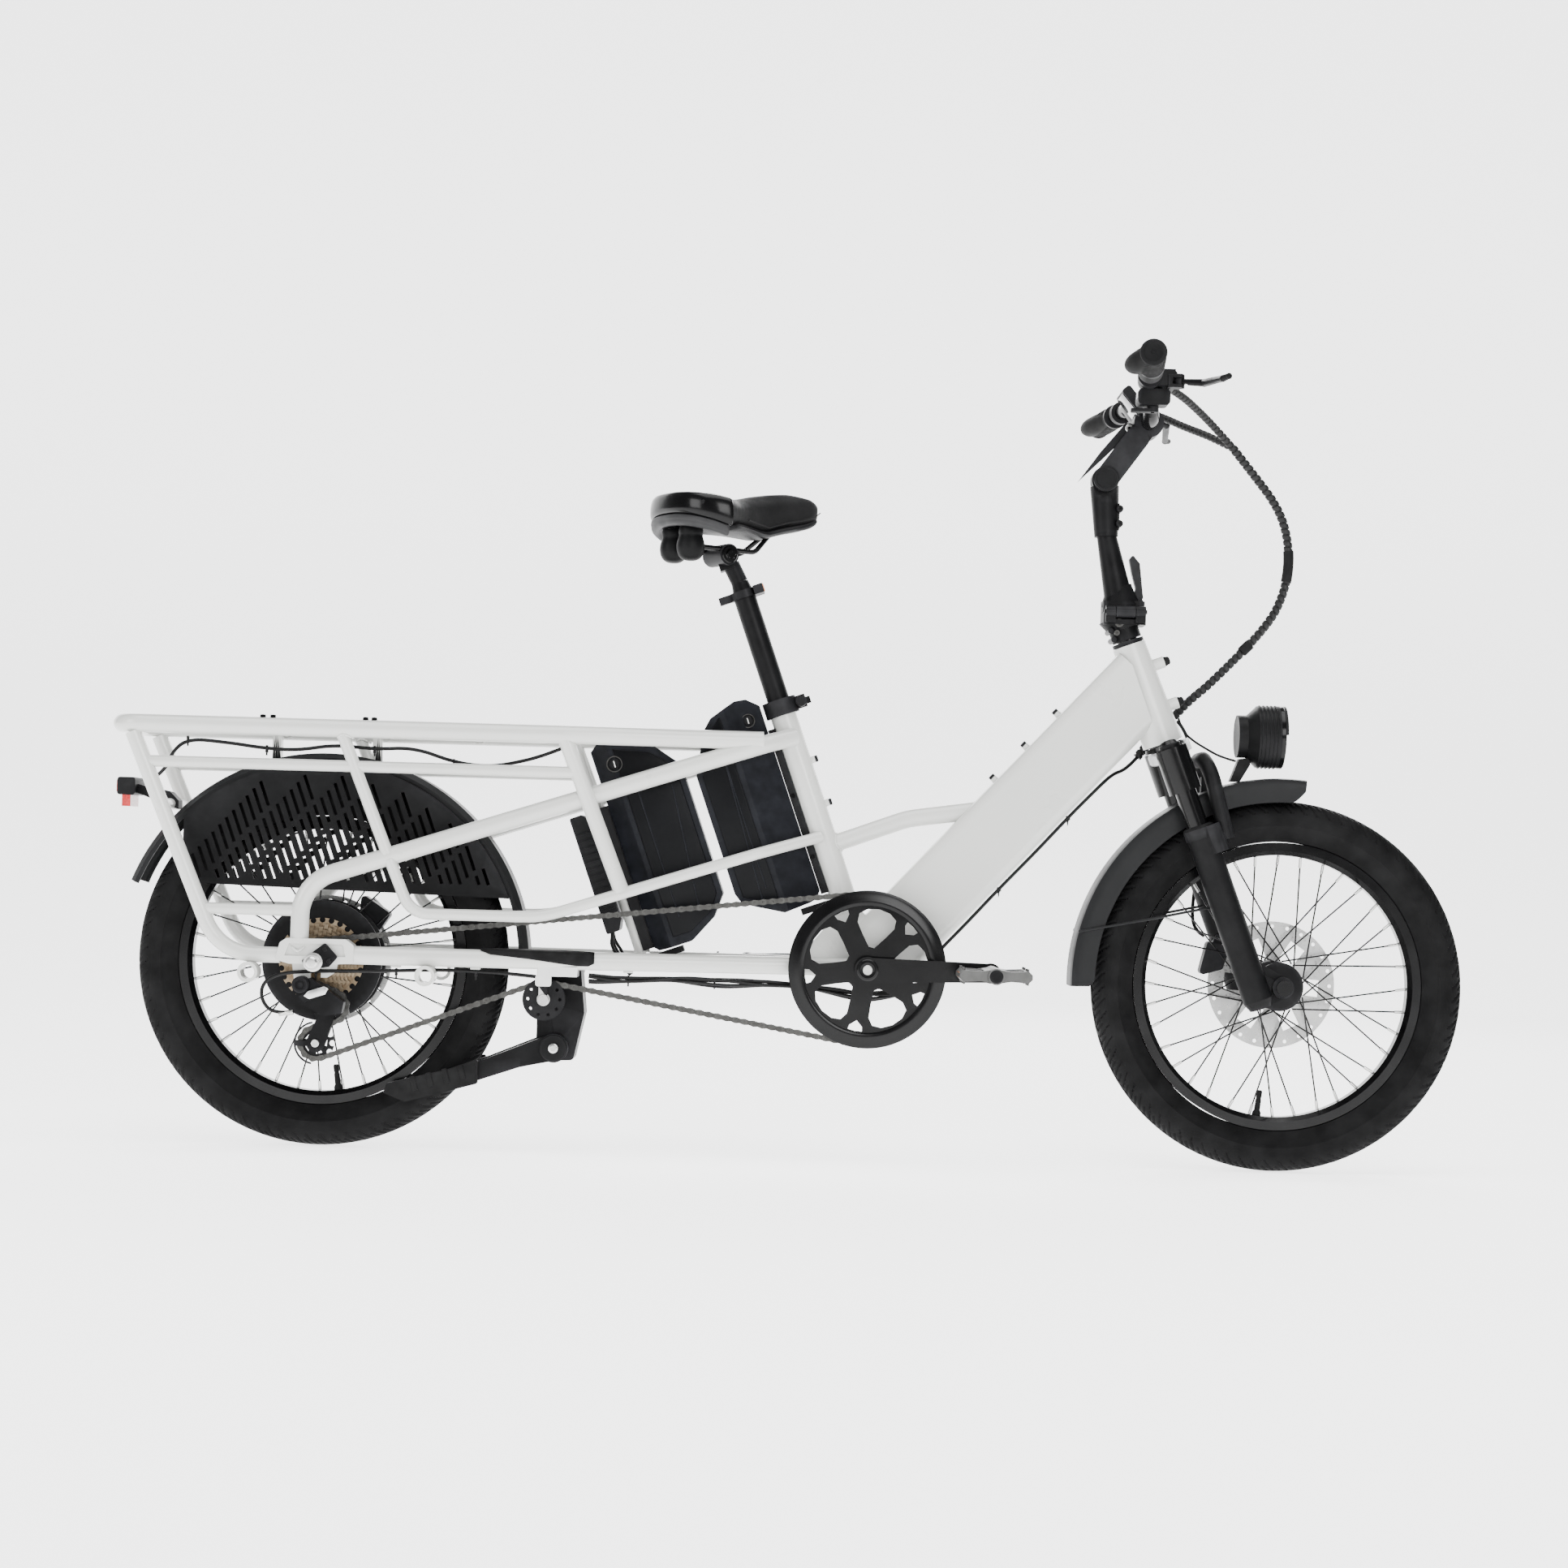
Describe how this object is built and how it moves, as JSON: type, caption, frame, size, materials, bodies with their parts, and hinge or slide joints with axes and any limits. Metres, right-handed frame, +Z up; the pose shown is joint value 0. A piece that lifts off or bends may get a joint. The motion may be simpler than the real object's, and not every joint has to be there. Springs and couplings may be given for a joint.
{
  "type": "cargo bicycle",
  "caption": "Electric long-tail cargo bicycle with small wheels, suspension fork, folding handlepost, tubular rear rack, batteries in tandem and a centre stand.",
  "frame": {"origin": "middle of the bounding box, on the ground between the tyres", "axes": "+X to the front of the bicycle, +Y to its left, +Z up"},
  "size_m": [1.8937, 0.6894, 1.11],
  "materials": {
    "frame_paint": "gloss",
    "black_metal": "satin",
    "gloss_black_metal": "gloss",
    "bare_steel": "satin",
    "chain_steel": "satin",
    "bronze_steel": "satin",
    "alloy": "satin",
    "dark_alloy": "matte",
    "tyre_rubber": "matte",
    "soft_rubber": "matte",
    "black_plastic": "matte",
    "grey_plastic": "matte",
    "battery_plastic": "satin",
    "saddle_cover": "matte",
    "cable_jacket": "satin"
  },
  "bodies": {
    "frame": {"main_frame": "frame_paint", "side_frame_right": "frame_paint", "side_frame_left": "frame_paint", "rack_cross_tubes": "frame_paint", "frame_fasteners": "bare_steel", "seat_clamp": "black_metal", "headset_cups": "black_metal", "rear_caliper": "black_metal", "rear_fender": "grey_plastic", "wheel_guards": "black_plastic", "rear_axle": "bare_steel", "chain": "chain_steel", "derailleur": "black_metal", "kickstand_bracket": "black_metal", "battery_docks": "black_plastic", "tail_light": "black_plastic", "frame_cables": "cable_jacket"},
    "steerer": {"fork_upper": "gloss_black_metal", "hinge_base": "black_metal"},
    "fork_sliders": {"fork_lowers": "dark_alloy", "front_caliper": "black_metal", "front_fender": "grey_plastic", "headlight": "black_plastic", "front_axle": "alloy", "fork_cables": "cable_jacket"},
    "front_wheel": {"front_tyre": "tyre_rubber", "front_rim": "gloss_black_metal", "front_spokes": "gloss_black_metal", "front_hub": "dark_alloy"},
    "rear_wheel": {"rear_tyre": "tyre_rubber", "rear_rim": "gloss_black_metal", "rear_spokes": "gloss_black_metal", "hub_motor": "dark_alloy"},
    "cassette": {"cassette": "bronze_steel"},
    "crank": {"chainring": "dark_alloy", "crank_arm_right": "dark_alloy", "crank_arm_left": "dark_alloy"},
    "pedal_right": {"pedal_right": "alloy"},
    "pedal_left": {"pedal_left": "alloy"},
    "chain_idler": {"chain_idler": "black_plastic"},
    "guide_pulley": {"guide_pulley": "black_plastic"},
    "tension_pulley": {"tension_pulley": "black_plastic"},
    "kickstand": {"kickstand_legs": "black_metal"},
    "handlepost": {"handlepost": "gloss_black_metal", "steering_harness": "cable_jacket"},
    "fold_lever": {"fold_lever": "black_metal"},
    "cockpit": {"stem": "black_metal", "handlebar": "gloss_black_metal", "grips": "soft_rubber", "control_pods": "black_plastic"},
    "stem_lever": {"stem_lever": "black_metal"},
    "brake_lever_right": {"brake_lever_right": "black_metal"},
    "brake_lever_left": {"brake_lever_left": "black_metal"},
    "shift_trigger": {"shift_trigger": "black_plastic"},
    "throttle": {"throttle": "soft_rubber"},
    "seat_group": {"seatpost": "black_metal", "saddle_frame": "gloss_black_metal", "saddle": "saddle_cover"},
    "front_battery": {"front_battery": "battery_plastic"},
    "rear_battery": {"rear_battery": "battery_plastic"}
  },
  "joints": [
    {"name": "steering", "type": "hinge", "parent": "frame", "child": "steerer", "pos_m": [0.4705, 0, 0.7344], "axis": [-0.3502, 0, 0.9367], "range_deg": [-60, 60], "deforming": ["frame_cables", "steering_harness", "fork_cables"]},
    {"name": "fork_travel", "type": "slide", "parent": "steerer", "child": "fork_sliders", "axis": [-0.3502, 0, 0.9367], "range_m": [0, 0.05], "stiffness_N_per_m": 16000, "springref_m": -0.012, "deforming": ["fork_cables"]},
    {"name": "front_wheel_spin", "type": "hinge", "parent": "fork_sliders", "child": "front_wheel", "pos_m": [0.6885, 0, 0.26], "axis": [0, 1, 0], "continuous": true},
    {"name": "rear_wheel_spin", "type": "hinge", "parent": "frame", "child": "rear_wheel", "pos_m": [-0.6515, 0, 0.26], "axis": [0, 1, 0], "continuous": true},
    {"name": "crank_spin", "type": "hinge", "parent": "frame", "child": "crank", "pos_m": [0.1115, 0, 0.2695], "axis": [0, 1, 0], "continuous": true},
    {"name": "pedal_right_spin", "type": "hinge", "parent": "crank", "child": "pedal_right", "pos_m": [0.2815, 0, 0.2695], "axis": [0, 1, 0], "continuous": true},
    {"name": "pedal_left_spin", "type": "hinge", "parent": "crank", "child": "pedal_left", "pos_m": [-0.0585, 0, 0.2695], "axis": [0, 1, 0], "continuous": true},
    {"name": "cassette_spin", "type": "hinge", "parent": "frame", "child": "cassette", "pos_m": [-0.6515, 0, 0.26], "axis": [0, 1, 0], "continuous": true},
    {"name": "idler_spin", "type": "hinge", "parent": "frame", "child": "chain_idler", "pos_m": [-0.336, 0, 0.2159], "axis": [0, 1, 0], "continuous": true},
    {"name": "guide_pulley_spin", "type": "hinge", "parent": "frame", "child": "guide_pulley", "pos_m": [-0.6315, 0, 0.197], "axis": [0, 1, 0], "continuous": true},
    {"name": "tension_pulley_spin", "type": "hinge", "parent": "frame", "child": "tension_pulley", "pos_m": [-0.6505, 0, 0.1466], "axis": [0, 1, 0], "continuous": true},
    {"name": "kickstand_pivot", "type": "hinge", "parent": "frame", "child": "kickstand", "pos_m": [-0.3215, 0, 0.1476], "axis": [0, -1, 0], "range_deg": [0, 100]},
    {"name": "bar_fold", "type": "hinge", "parent": "steerer", "child": "handlepost", "pos_m": [0.4595, -0.03, 0.7795], "axis": [1, 0, 0], "range_deg": [0, 90], "deforming": ["steering_harness"]},
    {"name": "fold_latch", "type": "hinge", "parent": "handlepost", "child": "fold_lever", "pos_m": [0.4805, 0, 0.794], "axis": [0, 1, 0], "range_deg": [0, 90]},
    {"name": "stem_tilt", "type": "hinge", "parent": "handlepost", "child": "cockpit", "pos_m": [0.4303, 0, 0.9665], "axis": [0, 1, 0], "range_deg": [-20, 40], "deforming": ["steering_harness"]},
    {"name": "stem_latch", "type": "hinge", "parent": "cockpit", "child": "stem_lever", "pos_m": [0.462, 0, 1.0402], "axis": [0, 1, 0], "range_deg": [0, 60]},
    {"name": "brake_right", "type": "hinge", "parent": "cockpit", "child": "brake_lever_right", "pos_m": [0.5105, -0.172, 1.082], "axis": [0, 0, -1], "range_deg": [0, 22], "stiffness_Nm_per_rad": 2, "springref_deg": -5.73},
    {"name": "brake_left", "type": "hinge", "parent": "cockpit", "child": "brake_lever_left", "pos_m": [0.5105, 0.172, 1.082], "axis": [0, 0, 1], "range_deg": [0, 22], "stiffness_Nm_per_rad": 2, "springref_deg": -5.73},
    {"name": "shift", "type": "hinge", "parent": "cockpit", "child": "shift_trigger", "pos_m": [0.4785, -0.144, 1.047], "axis": [0, 0, 1], "range_deg": [0, 20], "stiffness_Nm_per_rad": 0.5, "springref_deg": -5.73},
    {"name": "throttle_twist", "type": "hinge", "parent": "cockpit", "child": "throttle", "pos_m": [0.46538, -0.225, 1.09017], "axis": [0.0942, 0.9954, -0.0202], "range_deg": [0, 60], "stiffness_Nm_per_rad": 0.3, "springref_deg": -5.73},
    {"name": "saddle_height", "type": "slide", "parent": "frame", "child": "seat_group", "axis": [-0.3371, 0, 0.9415], "range_m": [-0.14, 0.06]},
    {"name": "front_battery_slide", "type": "slide", "parent": "frame", "child": "front_battery", "axis": [-0.3371, 0, 0.9415], "range_m": [0, 0.08]},
    {"name": "rear_battery_slide", "type": "slide", "parent": "frame", "child": "rear_battery", "axis": [-0.3371, 0, 0.9415], "range_m": [0, 0.08]}
  ],
  "couplings": [
    {"joint": "cassette_spin", "follows": "crank_spin", "ratio": 3.7143},
    {"joint": "tension_pulley_spin", "follows": "crank_spin", "ratio": 4.7273},
    {"joint": "guide_pulley_spin", "follows": "crank_spin", "ratio": -4.7273},
    {"joint": "idler_spin", "follows": "crank_spin", "ratio": -4.3825}
  ]
}
